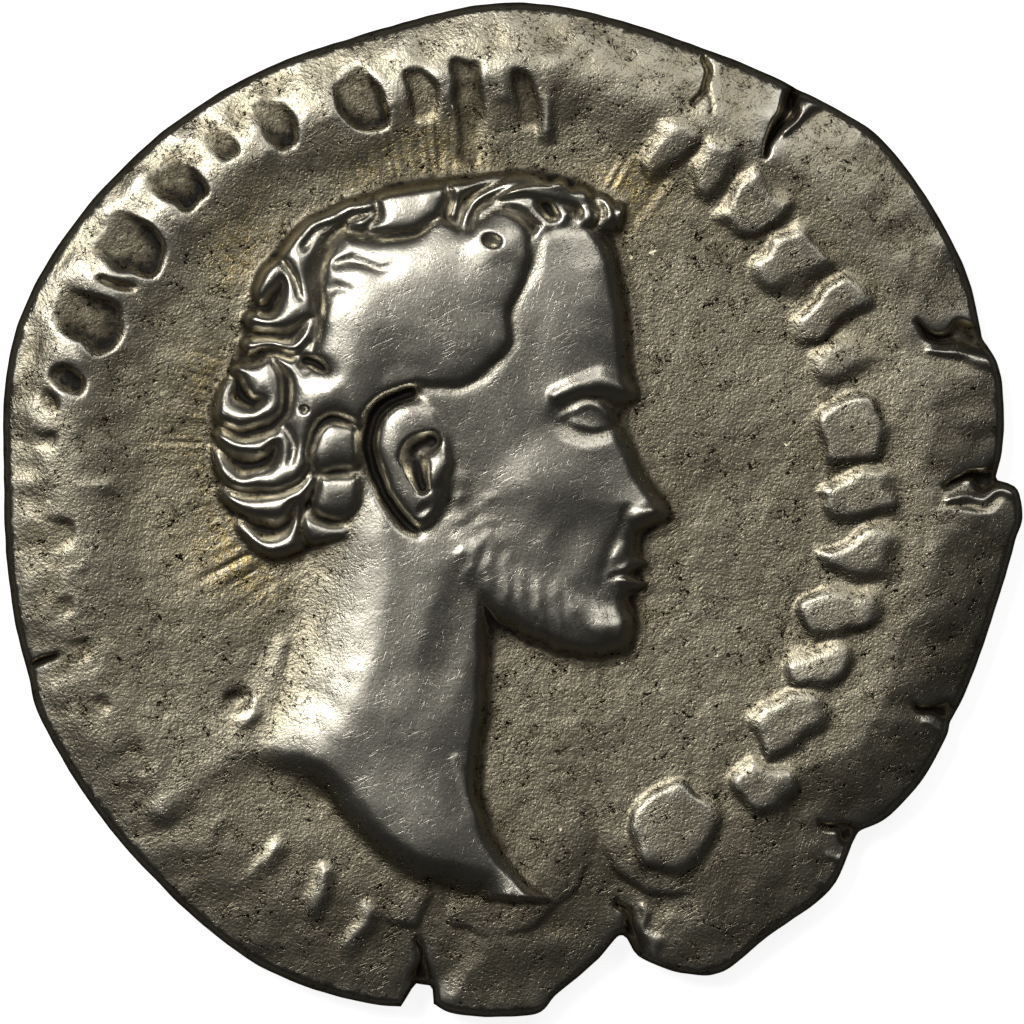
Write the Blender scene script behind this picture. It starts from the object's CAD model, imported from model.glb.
# %% [markdown]
# # A worn silver coin
# This lesson dresses one small silver coin, struck by hand on a flan with a torn edge. The solid that carries it
# is already there, so what is made here is the fine relief, the finish of the metal, the light and the camera.
# A coin is one piece of metal, so the lesson makes one piece: a blank, which is then struck.

# %% Load the frame
import math

import bpy
import numpy as np
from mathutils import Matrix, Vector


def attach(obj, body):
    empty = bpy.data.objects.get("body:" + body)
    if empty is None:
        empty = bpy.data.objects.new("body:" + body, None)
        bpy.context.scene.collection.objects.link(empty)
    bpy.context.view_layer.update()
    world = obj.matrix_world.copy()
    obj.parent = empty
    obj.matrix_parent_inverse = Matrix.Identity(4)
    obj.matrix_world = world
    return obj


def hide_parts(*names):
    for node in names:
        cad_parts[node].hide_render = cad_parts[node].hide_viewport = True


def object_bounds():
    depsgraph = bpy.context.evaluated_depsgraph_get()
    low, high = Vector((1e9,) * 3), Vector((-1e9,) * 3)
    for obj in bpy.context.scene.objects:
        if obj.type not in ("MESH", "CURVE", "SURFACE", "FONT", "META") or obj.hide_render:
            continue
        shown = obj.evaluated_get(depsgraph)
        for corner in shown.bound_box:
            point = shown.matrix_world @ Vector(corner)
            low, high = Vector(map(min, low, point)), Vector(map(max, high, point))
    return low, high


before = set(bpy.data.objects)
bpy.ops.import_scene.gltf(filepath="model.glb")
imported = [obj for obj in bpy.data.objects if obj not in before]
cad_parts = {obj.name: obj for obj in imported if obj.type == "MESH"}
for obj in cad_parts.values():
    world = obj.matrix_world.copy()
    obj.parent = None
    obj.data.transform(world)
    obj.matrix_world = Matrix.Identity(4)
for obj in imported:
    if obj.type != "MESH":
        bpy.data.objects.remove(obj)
CAD_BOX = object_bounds()
print("solid from", [round(v * 1000, 2) for v in CAD_BOX[0]], "to", [round(v * 1000, 2) for v in CAD_BOX[1]], "mm")

# %% [markdown]
# ## A height map
# The picture on a coin is a relief: low hills on a sheet of metal. A sculptor would carve it, and in Blender
# it could be sculpted by hand too. Here each form is drawn by a formula into a height map, a table of heights
# on a fine square mesh of places, which later lifts the points of a real mesh. Heights and places are in
# millimetres, +X is right and +Y is up in the picture.

# %% An empty height map
MM = 0.001
PITCH = 0.02
REACH = 9.6
AXIS = np.arange(-REACH, REACH + PITCH / 2, PITCH)
X, Y = np.meshgrid(AXIS, AXIS)
RADIUS = np.hypot(X, Y)
ANGLE = np.degrees(np.arctan2(Y, X)) % 360
print("places in the height map:", X.size)


# %% [markdown]
# ## Smoothing and noise
# Blurring a map takes away everything smaller than a given size. The same blur turns white noise into
# clouds of that size, which are the start of every natural unevenness below. The seeds are fixed, so the coin
# is the same each time.

# %% Blur, clouds and soft steps
def blur(heights, size):
    """The map with everything smaller than this size smoothed away."""
    down = np.fft.fftfreq(len(AXIS), PITCH)[:, None]
    across = np.fft.rfftfreq(len(AXIS), PITCH)[None, :]
    keep = np.exp(-2 * (math.pi * size) ** 2 * (down**2 + across**2))
    return np.fft.irfft2(np.fft.rfft2(heights) * keep, s=heights.shape)


def clouds(size, seed):
    """Cloudy noise with blobs of this size, mostly from -2 to 2."""
    rough = blur(np.random.default_rng(seed).standard_normal(X.shape), size)
    return (rough - rough.mean()) / rough.std()


def soft_step(value):
    """0 below 0, 1 above 1, and a smooth rise between."""
    value = np.clip(value, 0, 1)
    return value * value * (3 - 2 * value)


def shoulder(depth, width, roundness=2.0):
    """0 at an edge and 1 from this width inside it, steep at first and rounding over."""
    return 1 - (1 - np.clip(depth / width, 0, 1)) ** roundness


def higher(first, second, blend=0.04):
    """The higher of two surfaces, with the crease between them rounded."""
    return np.maximum(first, second) + np.clip(blend - np.abs(first - second), 0, None) ** 2 / (4 * blend)


# %% [markdown]
# ## Lines
# Outlines, locks of hair and cracks all start as a line through a few points. A Catmull-Rom curve makes it
# smooth, and the distance from each place to the line then says where a form is and how high it stands.

# %% Smooth lines, arcs and distances
STEPS = 6


def smooth_line(points, closed=False):
    """Points along a smooth line through the given ones."""
    given = np.asarray(points, float)
    if closed:
        given = np.vstack([given[-1:], given, given[:2]])
    else:
        given = np.vstack([2 * given[0] - given[1], given, 2 * given[-1] - given[-2]])
    step = np.linspace(0, 1, STEPS, endpoint=False)[:, None]
    pieces = []
    for before, start, end, after in zip(given, given[1:], given[2:], given[3:]):
        slope = end - before
        bend = 2 * before - 5 * start + 4 * end - after
        twist = 3 * start - before - 3 * end + after
        pieces.append(start + 0.5 * (slope * step + bend * step**2 + twist * step**3))
    if not closed:
        pieces.append(given[-2:-1])
    return np.vstack(pieces)


def arc(centre, radius, start, sweep, tall=1.0):
    """Points along an arc, with its angles in degrees."""
    angles = np.radians(np.linspace(start, start + sweep, 3 * STEPS))
    return np.column_stack([centre[0] + radius * np.cos(angles), centre[1] + tall * radius * np.sin(angles)])


def spoke(angle, inner, outer, lean=0.0):
    """A short line that points away from the middle of the coin, leaning by some degrees."""
    place = math.radians(angle)
    way = math.radians(angle + lean)
    middle = np.array([math.cos(place), math.sin(place)]) * (inner + outer) / 2
    half = np.array([math.cos(way), math.sin(way)]) * (outer - inner) / 2
    return np.array([middle - half, middle, middle + half])


def window(line, margin):
    """The part of the map round a line, as two slices."""
    low = np.floor((line.min(axis=0) - margin + REACH) / PITCH).astype(int)
    high = np.ceil((line.max(axis=0) + margin + REACH) / PITCH).astype(int) + 1
    low = np.clip(low, 0, len(AXIS))
    high = np.clip(high, 0, len(AXIS))
    return slice(low[1], high[1]), slice(low[0], high[0])


def nearest_on(line, x, y):
    """Each place's distance to a line, and how far along the line its nearest point is, from 0 to 1."""
    best = np.full(x.shape, np.inf)
    along = np.zeros(x.shape)
    lengths = np.hypot(*np.diff(line, axis=0).T)
    travelled = 0.0
    for start, end, length in zip(line, line[1:], lengths):
        across = (end - start) / max(length, 1e-9)
        share = np.clip((x - start[0]) * across[0] + (y - start[1]) * across[1], 0, length)
        distance = (x - start[0] - share * across[0]) ** 2 + (y - start[1] - share * across[1]) ** 2
        closer = distance < best
        best[closer] = distance[closer]
        along[closer] = (travelled + share[closer]) / lengths.sum()
        travelled += length
    return np.sqrt(best), along


def depth_inside(outline):
    """Distance to a closed outline over the map: above 0 inside it, and below 0 outside, down to -1."""
    ring = np.vstack([outline, outline[:1]])
    depth = np.full(X.shape, -1.0)
    near = window(ring, 1.0)
    x = X[near]
    y = Y[near]
    inside = np.zeros(x.shape, bool)
    for start, end in zip(ring, ring[1:]):
        if start[1] != end[1]:
            crossing = start[0] + (y - start[1]) / (end[1] - start[1]) * (end[0] - start[0])
            inside ^= ((start[1] > y) != (end[1] > y)) & (x < crossing)
    depth[near] = np.where(inside, 1, -1) * nearest_on(ring, x, y)[0]
    return np.maximum(depth, -1)


# %% [markdown]
# ## Tools of the die cutter
# A mound is a rounded lump and a ridge is a stroke that follows a line, with its width given at a few stations.
# A groove has soft lips, so two of them side by side leave a rounded lock between them. A block is a straight
# bar with soft flanks, for strokes and for the hollows between them.

# %% Mounds, ridges, grooves and blocks
def mound(centre, long, wide, tilt, height, power=0.8):
    """A rounded lump with an oval outline. A power of 2 lets it fade into what it stands on."""
    made = np.zeros(X.shape)
    near = window(np.array([centre]), max(long, wide))
    turn = math.radians(tilt)
    east = X[near] - centre[0]
    north = Y[near] - centre[1]
    length = (east * math.cos(turn) + north * math.sin(turn)) / long
    width = (north * math.cos(turn) - east * math.sin(turn)) / wide
    made[near] = height * np.clip(1 - length**2 - width**2, 0, 1) ** power
    return made


def half_width(widths, along):
    return np.interp(along, np.linspace(0, 1, len(widths)), widths) / 2


def ridge(line, widths, height, power=0.7):
    """A stroke along a line, round across and at its ends. A higher power makes its sides softer."""
    made = np.zeros(X.shape)
    near = window(line, max(widths))
    distance, along = nearest_on(line, X[near], Y[near])
    share = distance / half_width(widths, along)
    made[near] = height * np.clip(1 - share**2, 0, 1) ** power
    return made


def carve(lines, spread=0.34):
    """How deep grooves along these lines cut. Their soft lips make what lies between two of them look rounded."""
    cut = np.zeros(X.shape)
    for points, widths, depth in lines:
        line = smooth_line(points)
        near = window(line, max(widths) + spread)
        distance, along = nearest_on(line, X[near], Y[near])
        half = half_width(widths, along)
        narrow = np.exp(-((distance / (1.15 * half)) ** 2))
        soft = np.clip(1 - distance / (half + spread), 0, 1) ** 2
        fade = np.sqrt(half / half_width(widths, along).max())
        cut[near] = np.maximum(cut[near], depth * fade * (0.60 * narrow + 0.55 * soft))
    return cut


def block(line, widths, flank):
    """1 on a straight bar with rounded corners and 0 beside it, with soft flanks of this width."""
    made = np.zeros(X.shape)
    rounding = 0.3 * min(widths)
    near = window(line, max(widths) + flank)
    middle = (line[0] + line[-1]) / 2
    length = np.hypot(*(line[-1] - line[0]))
    way = (line[-1] - line[0]) / length
    along = (X[near] - middle[0]) * way[0] + (Y[near] - middle[1]) * way[1]
    across = (Y[near] - middle[1]) * way[0] - (X[near] - middle[0]) * way[1]
    beside = np.abs(across) - half_width(widths, along / length + 0.5) + rounding
    past = np.abs(along) - length / 2 + rounding
    outside = np.hypot(np.clip(beside, 0, None), np.clip(past, 0, None)) + np.minimum(np.maximum(beside, past), 0)
    made[near] = soft_step(0.5 - (outside - rounding) / flank)
    return made


def warp(heights, amount, size, seed):
    """The map with every place moved a little, so that drawn edges become uneven ones."""
    across = np.arange(X.shape[1]) + amount / PITCH * clouds(size, seed)
    down = np.arange(X.shape[0])[:, None] + amount / PITCH * clouds(size, seed + 1)
    across = np.clip(across, 0, X.shape[1] - 1.001)
    down = np.clip(down, 0, X.shape[0] - 1.001)
    column = across.astype(int)
    row = down.astype(int)
    right = across - column
    up = down - row
    lower = heights[row, column] * (1 - right) + heights[row, column + 1] * right
    upper = heights[row + 1, column] * (1 - right) + heights[row + 1, column + 1] * right
    return lower * (1 - up) + upper * up


# %% [markdown]
# ## The torn edge
# The flan was struck by hand and split at its edge, so it isn't round. Each lip of metal between two cracks is a
# short row of stations, an angle and a radius. The radius between them comes from a smooth line, and two gaps
# where the edge is gone are cut in afterwards.

# %% The outline of the flan
LIPS = (
    ((-25.5, 8.70), (-23.3, 8.71), (-14, 8.77), (-4.5, 8.96), (-1, 9.10), (1.9, 9.05), (2.9, 8.93)),
    ((3.3, 8.62), (6.5, 8.79), (13.2, 9.00), (16.5, 9.04), (18.9, 8.97)),
    ((19.9, 8.91), (27, 9.12), (36, 9.24), (45.7, 9.31), (53.6, 9.12)),
    ((55.6, 9.05), (70, 8.88), (86, 9.01), (93, 9.01), (106, 8.86), (117, 8.97), (135, 9.19))
    + ((155, 9.40), (163, 9.37), (174, 9.12), (183, 9.05), (197.9, 9.11)),
    ((199.2, 9.12), (203, 9.20), (214, 9.16), (229, 9.19), (241, 9.31), (253, 9.19), (257.7, 9.08)),
    ((261.0, 8.93), (263.5, 9.06), (270, 9.05), (273.4, 8.97), (275.4, 8.67), (281, 8.15)),
    ((285.3, 8.22), (287, 8.47), (290.5, 8.84), (294.5, 9.06), (301, 8.88), (310, 8.84), (315.6, 8.50)),
    ((317.2, 8.44), (320.7, 8.66), (326, 8.76), (332, 8.75), (334.3, 8.68)),
)
GAPS = ((258.2, 260.7, 8.62), (283.9, 284.9, 7.84))
EDGE_WAVES = 0.012


def edge_table():
    """Angles and radii all round the torn edge, with a little unevenness."""
    stations = [smooth_line(lip) for lip in LIPS]
    for start, end, radius in GAPS:
        stations.append(np.array([(start, radius), (end, radius)]))
    table = np.vstack(stations)
    table[:, 0] %= 360
    table = table[np.argsort(table[:, 0])]
    turn = np.radians(np.arange(0, 360, 0.5))
    waves = sum(np.sin(count * turn + 2.3 * count) / count**0.5 for count in (17, 29, 41, 67, 97, 131))
    radius = np.interp(np.degrees(turn), *table.T, period=360) + EDGE_WAVES * waves
    return np.column_stack([np.degrees(turn), radius])


EDGE_TABLE = edge_table()


def edge_radius(angle):
    """Radius of the torn edge at each angle in degrees."""
    return np.interp(angle, *EDGE_TABLE.T, period=360)


def edge_distance():
    """Distance inwards from the torn edge, exact near it and by the radius farther in."""
    inset = edge_radius(ANGLE) - RADIUS
    turn = np.radians(EDGE_TABLE[:, 0])
    outline = (EDGE_TABLE[:, 1] * np.array([np.cos(turn), np.sin(turn)])).T
    outline = np.vstack([outline, outline[:1]])
    for sector in range(0, 720, 20):
        line = outline[max(sector - 12, 0) : sector + 33]
        middle = 0.5 * sector
        near = window(outline[sector : sector + 21], 1.7)
        here = (np.abs((ANGLE[near] - middle - 5 + 180) % 360 - 180) <= 5.01) & (np.abs(inset[near]) < 1.5)
        exact = nearest_on(line, X[near][here], Y[near][here])[0]
        part = inset[near]
        part[here] = np.sign(part[here]) * np.minimum(exact, np.abs(part[here]))
        inset[near] = part
    return inset


INSET = edge_distance()
print("outline from", round(EDGE_TABLE[:, 1].min(), 2), "to", round(EDGE_TABLE[:, 1].max(), 2), "mm")

# %% [markdown]
# ## The head's ground and the bare neck
# The head is one low dome with its highest place over the temple, so its left side faces the light. The neck
# slopes away behind and is cut off below in a curve that ends in a point. Both are regions inside a closed
# outline, whose height rises with the distance from that outline.

# %% The neck and bust
NECK_FRONT = ((-0.30, -1.6), (-0.34, -3.4), (-0.50, -4.9), (-0.12, -6.05), (0.80, -6.98))
BUST_CUT = ((-0.60, -6.92), (-1.80, -6.65), (-2.75, -5.95), (-3.60, -5.02), (-4.60, -4.78), (-5.90, -5.15))
NAPE = ((-6.10, -4.95), (-5.15, -3.80), (-4.50, -2.60), (-4.20, -1.30), (-4.10, 0.3))
NECK_HEIGHT = 0.42
NAPE_SLOPE = 2.1


def neck():
    """Heights of the bare neck and shoulder."""
    front = smooth_line(NECK_FRONT)
    cut = smooth_line(BUST_CUT)
    back = smooth_line(NAPE)
    depth = depth_inside(np.vstack([front, cut, back, np.array([(-3.4, 2.2), (-0.6, 2.2)])]))
    from_front = nearest_on(front, X, Y)[0]
    from_cut = nearest_on(cut, X, Y)[0]
    from_nape = nearest_on(back, X, Y)[0]
    rise = 0.62 * soft_step(from_front / 0.34) + 0.38 * shoulder(from_front, 1.3)
    lift = 0.55 * soft_step(from_cut / 0.60) + 0.45 * shoulder(from_cut, 1.4)
    made = NECK_HEIGHT * rise * lift * soft_step(from_nape / NAPE_SLOPE)
    made += ridge(smooth_line(((-1.0, -4.4), (-0.68, -5.3), (-0.2, -6.05), (0.45, -6.6))), (0.2, 0.35, 0.3), 0.03, 1.5)
    made += mound((-1.9, -3.9), 1.9, 1.1, -35, 0.04, 2)
    made -= mound((-1.15, -2.4), 1.6, 0.5, 78, 0.05, 2)
    shoulder_line = smooth_line(((-4.1, -2.4), (-4.6, -3.5), (-5.3, -4.4), (-6.2, -5.35)))
    return made * (depth > 0) + ridge(shoulder_line, (0.4, 1.1, 1.2, 0.8), 0.05, 2)


# %% [markdown]
# ## The face
# The face follows the drawing-school rule. Three thirds run from the hairline to the brow, the base of the nose
# and the chin, and the eye sits at half the height of the head. The ear stands just behind the middle of the
# head, from the brow to the base of the nose, and the jaw turns its corner below it, level with the mouth. The
# features are small mounds and strokes on the dome, and the expression is a calm one.

# %% Proportions of the head
CROWN = 6.0
CHIN = -2.7
THIRD = 0.27 * (CROWN - CHIN)
NOSE_BASE = CHIN + THIRD
BROW = NOSE_BASE + THIRD
HAIRLINE = BROW + THIRD
EYE_LINE = (CROWN + CHIN) / 2
MOUTH = NOSE_BASE - THIRD / 3
FRONT = 2.25
HEAD_BACK = -5.4
EAR = ((FRONT + HEAD_BACK) / 2 - 0.15, (BROW + NOSE_BASE) / 2)
JAW_FRONT = (FRONT - 1.5, CHIN + 0.06)
JAW_CORNER = (EAR[0] + 0.30, MOUTH)
JAW_MIDDLE = ((JAW_FRONT[0] + JAW_CORNER[0]) / 2, (CHIN + MOUTH) / 2 - 0.12)
PROFILE = (
    (FRONT - 0.75, HAIRLINE + 0.90),
    (FRONT - 0.34, HAIRLINE + 0.20),
    (FRONT - 0.12, HAIRLINE - 0.80),
    (FRONT - 0.05, BROW + 0.60),
    (FRONT + 0.05, BROW + 0.05),
    (FRONT - 0.16, EYE_LINE - 0.08),
    (FRONT + 0.20, EYE_LINE - 0.42 * THIRD),
    (FRONT + 0.58, NOSE_BASE + 0.40),
    (FRONT + 0.62, NOSE_BASE + 0.12),
    (FRONT + 0.16, NOSE_BASE - 0.10),
    (FRONT + 0.12, NOSE_BASE - 0.42),
    (FRONT + 0.24, MOUTH + 0.17),
    (FRONT + 0.05, MOUTH),
    (FRONT + 0.18, MOUTH - 0.22),
    (FRONT - 0.06, MOUTH - 0.50),
    (FRONT + 0.05, CHIN + 0.62),
    (FRONT - 0.12, CHIN + 0.16),
    (FRONT - 0.60, CHIN - 0.04),
)
JAW = (JAW_FRONT, JAW_MIDDLE, JAW_CORNER, (EAR[0] + 0.25, NOSE_BASE))
BEARD_LINE = (
    (EAR[0] + 0.55, NOSE_BASE + 0.60),
    (JAW_CORNER[0] + 0.28, JAW_CORNER[1] + 0.25),
    (JAW_MIDDLE[0] + 0.05, JAW_MIDDLE[1] + 0.28),
    (JAW_FRONT[0], CHIN + 0.34),
    (FRONT - 0.50, CHIN + 0.20),
)
UNDER_HAIR = ((-1.5, 0.8), (-1.7, 2.4), (-1.4, 4.4), (-0.2, 5.5), (0.8, 5.75))
print("eye line at", round(EYE_LINE, 2), "brow at", round(BROW, 2), "mouth at", round(MOUTH, 2))


# %% The face
def strokes_of(centre, *rows):
    """Several ridges placed about one centre, each as (points, widths, height, power)."""
    made = np.zeros(X.shape)
    for points, widths, height, power in rows:
        made += ridge(smooth_line(np.asarray(points) + centre), widths, height, power)
    return made


def eye():
    """An open eye seen from the side: the brow, its socket, the ball and two lids."""
    centre = (FRONT - 0.86, EYE_LINE)
    made = -mound((centre[0] + 0.10, centre[1] + 0.03), 0.92, 0.55, 6, 0.16, 1.7)
    made += mound((centre[0] + 0.02, centre[1] - 0.02), 0.42, 0.27, 6, 0.13, 0.7)
    made -= mound((centre[0] + 0.50, centre[1] - 0.06), 0.16, 0.12, 60, 0.05, 1)
    return made + strokes_of(
        centre,
        (((0.84, BROW - EYE_LINE + 0.02), (0.15, BROW - EYE_LINE + 0.24), (-0.62, BROW - EYE_LINE)), (0.5, 0.6, 0.3), 0.09, 1.6),
        (((0.44, -0.08), (0.20, 0.17), (-0.10, 0.22), (-0.52, -0.02)), (0.10, 0.15, 0.15, 0.08), 0.075, 0.7),
        (((0.40, -0.15), (0.02, -0.23), (-0.44, -0.06)), (0.08, 0.12, 0.07), 0.045, 0.8),
        (((0.40, 0.16), (0.02, 0.38), (-0.50, 0.20)), (0.08, 0.10, 0.06), -0.035, 1),
        (((0.30, -0.42), (-0.05, -0.47), (-0.42, -0.36)), (0.10, 0.20, 0.10), -0.02, 1),
    )


def mouth_and_nose():
    """The wing of the nose with its nostril, the lips, and the soft fold beside them."""
    made = mound((FRONT + 0.10, NOSE_BASE + 0.22), 0.30, 0.24, 15, 0.09, 1.1)
    made -= mound((FRONT + 0.27, NOSE_BASE + 0.03), 0.17, 0.065, 12, 0.10)
    made += mound((FRONT + 0.36, NOSE_BASE + 0.30), 0.30, 0.26, 40, 0.05, 1.2)
    return made + strokes_of(
        (FRONT, MOUTH),
        (((-0.20, NOSE_BASE - MOUTH + 0.42), (-0.28, NOSE_BASE - MOUTH + 0.18), (-0.14, NOSE_BASE - MOUTH)), (0.09, 0.12, 0.08), -0.05, 1),
        (((0.20, 0.13), (-0.02, 0.15), (-0.40, 0.04)), (0.22, 0.20, 0.06), 0.07, 0.9),
        (((0.16, -0.18), (-0.06, -0.18), (-0.36, -0.08)), (0.26, 0.24, 0.06), 0.08, 0.9),
        (((0.22, -0.02), (0.0, -0.03), (-0.42, -0.06), (-0.52, -0.12)), (0.07, 0.08, 0.08, 0.05), -0.09, 1),
        (((-0.02, -0.46), (-0.30, -0.44)), (0.20, 0.10), -0.04, 1.2),
        (((-0.32, NOSE_BASE - MOUTH + 0.10), (-0.62, 0.05), (-0.66, -0.30)), (0.08, 0.30, 0.10), -0.03, 1.5),
    )


def beard():
    """A short beard along the jaw to the chin, worn down to a soft swelling with a trace of its tufts."""
    jaw = smooth_line(BEARD_LINE)
    made = ridge(jaw + (0.14, 0.26), (0.6, 1.1, 1.4, 1.2), 0.05, 1.6)
    for row, inset in enumerate((0.16, 0.44, 0.72)):
        for step in range(row % 2, len(jaw) - 1, 2):
            way = jaw[step + 1] - jaw[step]
            way = way / np.hypot(*way)
            inward = np.array([-way[1], way[0]])
            root = jaw[step] + (inset + 0.05 * math.sin(7 * step + row)) * inward
            swing = 0.12 * math.sin(5 * step + 3 * row)
            tuft = np.array([root + 0.16 * inward, root + 0.05 * way, root - 0.16 * inward + (0.16 + swing) * way])
            made += ridge(smooth_line(tuft), (0.14, 0.26, 0.10), 0.022 - 0.004 * row, 1.2)
    for step in range(3):
        start = (FRONT + 0.04 - 0.15 * step, NOSE_BASE - 0.16 - 0.05 * step)
        hairs = ridge(smooth_line((start, (start[0] - 0.12, start[1] - 0.14), (start[0] - 0.22, start[1] - 0.30))), (0.10, 0.18, 0.10), 0.024, 1.2)
        made += hairs
    return made


def face():
    """Heights of the face and jaw."""
    outline = np.vstack([smooth_line(PROFILE), smooth_line(JAW), smooth_line(UNDER_HAIR)])
    depth = depth_inside(outline)
    edge = nearest_on(np.vstack([smooth_line(PROFILE), smooth_line(JAW)]), X, Y)[0]
    ground = 0.22 * soft_step((edge + 0.06) / 0.42) + 0.08 * shoulder(edge, 0.9) + 0.22 * shoulder(edge, 2.6)
    detail = mound((0.75, 0.55), 1.5, 0.95, 20, 0.06, 2) + mound((1.15, HAIRLINE - 1.1), 1.7, 1.1, 80, 0.04, 2)
    detail -= mound((0.95, -0.75), 0.8, 0.45, 70, 0.03, 2) + mound((0.35, BROW + 0.5), 0.7, 0.9, 0, 0.03, 2)
    detail += mound((FRONT - 0.42, CHIN + 0.58), 0.60, 0.46, 0, 0.05, 2)
    detail += eye() + mouth_and_nose() + beard()
    return np.maximum(ground + blur(detail, 0.035) * shoulder(depth, 0.3), 0) * (depth > -0.06)

# %% [markdown]
# ## The hair
# Wear has joined the hair over the temple into one smooth cap, while the locks round the back and the fringe
# still stand apart. So the hair starts as one worn dome with a steep wall, and the grooves that wear hasn't
# closed are carved into it, as a die cutter would have left them.

# %% Outlines of the hair and its cap
HAIR_BACK = (
    (-3.05, -0.72),
    (-3.60, -0.85),
    (-4.35, -0.98),
    (-4.98, -0.45),
    (-5.42, 0.60),
    (-5.40, 1.90),
    (-5.02, 2.75),
    (-4.86, 3.50),
    (-4.50, 4.35),
    (-3.75, 5.18),
    (-2.55, 5.72),
    (-1.00, 5.98),
    (0.30, 6.06),
    (1.30, 5.86),
    (2.02, 5.50),
)
HAIR_FRONT = ((1.90, 4.80), (1.30, 4.66), (0.84, 4.62), (0.72, 4.20), (0.34, 3.50), (0.34, 2.84), (-0.14, 2.26), (-0.80, 1.84), (-1.80, 1.80), (-2.35, 1.4), (-2.42, 0.1), (-2.6, -0.5))
HAIR_CAP = (
    (-3.45, 2.90),
    (-3.36, 3.60),
    (-3.12, 4.20),
    (-2.60, 4.66),
    (-1.90, 4.80),
    (-1.05, 4.94),
    (-0.46, 5.26),
    (0.10, 5.24),
    (0.40, 4.78),
    (0.30, 4.05),
    (0.02, 3.40),
    (0.10, 2.95),
    (-0.42, 2.50),
    (-1.10, 2.22),
    (-2.05, 2.62),
    (-2.42, 1.95),
    (-2.62, 1.45),
    (-3.00, 1.52),
    (-3.20, 1.72),
    (-3.62, 1.20),
    (-3.95, 1.60),
    (-3.86, 2.20),
    (-3.46, 2.46),
)
HAIR_WALL = 0.28
HAIR_RISE = 0.30
HAIR_DOME = 2.3
CAP_RISE = 0.07
CAP_SLOPE = 0.8

# %% Grooves between the locks
# Each groove: (points, widths, depth).
CHANNELS = (
    (((-3.00, 5.08), (-3.34, 4.62), (-3.50, 3.98), (-3.54, 3.40), (-3.54, 2.90), (-3.72, 2.45)), (0.34, 0.38, 0.30, 0.24, 0.18, 0.10), 0.20),
    (((-3.66, 4.70), (-3.20, 5.08), (-2.70, 5.24), (-2.42, 5.34)), (0.10, 0.14, 0.16, 0.08), 0.15),
    (((-3.10, 4.98), (-2.60, 4.90), (-2.15, 4.90), (-1.62, 4.98), (-1.18, 5.30)), (0.26, 0.22, 0.16, 0.16, 0.10), 0.17),
    (((-2.46, 5.52), (-2.42, 5.24), (-2.56, 4.98)), (0.08, 0.14, 0.12), 0.14),
    (((-3.10, 4.34), (-2.78, 4.42), (-2.36, 4.28), (-2.10, 4.34)), (0.20, 0.16, 0.10, 0.04), 0.08),
    (((-3.30, 3.92), (-3.06, 3.94), (-2.80, 3.80)), (0.18, 0.12, 0.04), 0.07),
    (((-3.70, 2.62), (-3.54, 2.56), (-3.34, 2.42)), (0.20, 0.18, 0.05), 0.22),
)
TOP_GROOVES = (
    (((-1.14, 5.74), (-1.10, 5.48), (-1.22, 5.20), (-1.04, 5.04)), (0.08, 0.16, 0.18, 0.10), 0.18),
    (((-1.00, 5.02), (-0.90, 5.36), (-0.58, 5.66), (-0.06, 5.84)), (0.10, 0.18, 0.16, 0.06), 0.18),
    (((-0.80, 5.00), (-0.62, 5.34), (-0.16, 5.52), (0.22, 5.60), (0.50, 5.66)), (0.10, 0.16, 0.18, 0.14, 0.06), 0.17),
    (((-0.66, 5.10), (-0.30, 5.30), (0.10, 5.26), (0.40, 4.98), (0.44, 4.56), (0.28, 4.16)), (0.06, 0.10, 0.16, 0.22, 0.16, 0.08), 0.15),
    (((0.66, 5.80), (0.58, 5.46), (0.78, 5.20)), (0.10, 0.20, 0.16), 0.20),
    (((1.06, 5.84), (1.00, 5.50), (1.16, 5.22), (1.02, 5.00)), (0.08, 0.16, 0.16, 0.10), 0.18),
    (((1.44, 5.80), (1.46, 5.48), (1.58, 5.22), (1.46, 5.00)), (0.08, 0.16, 0.18, 0.10), 0.18),
    (((1.80, 5.60), (1.80, 5.34), (1.90, 5.14)), (0.06, 0.12, 0.10), 0.12),
)
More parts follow.
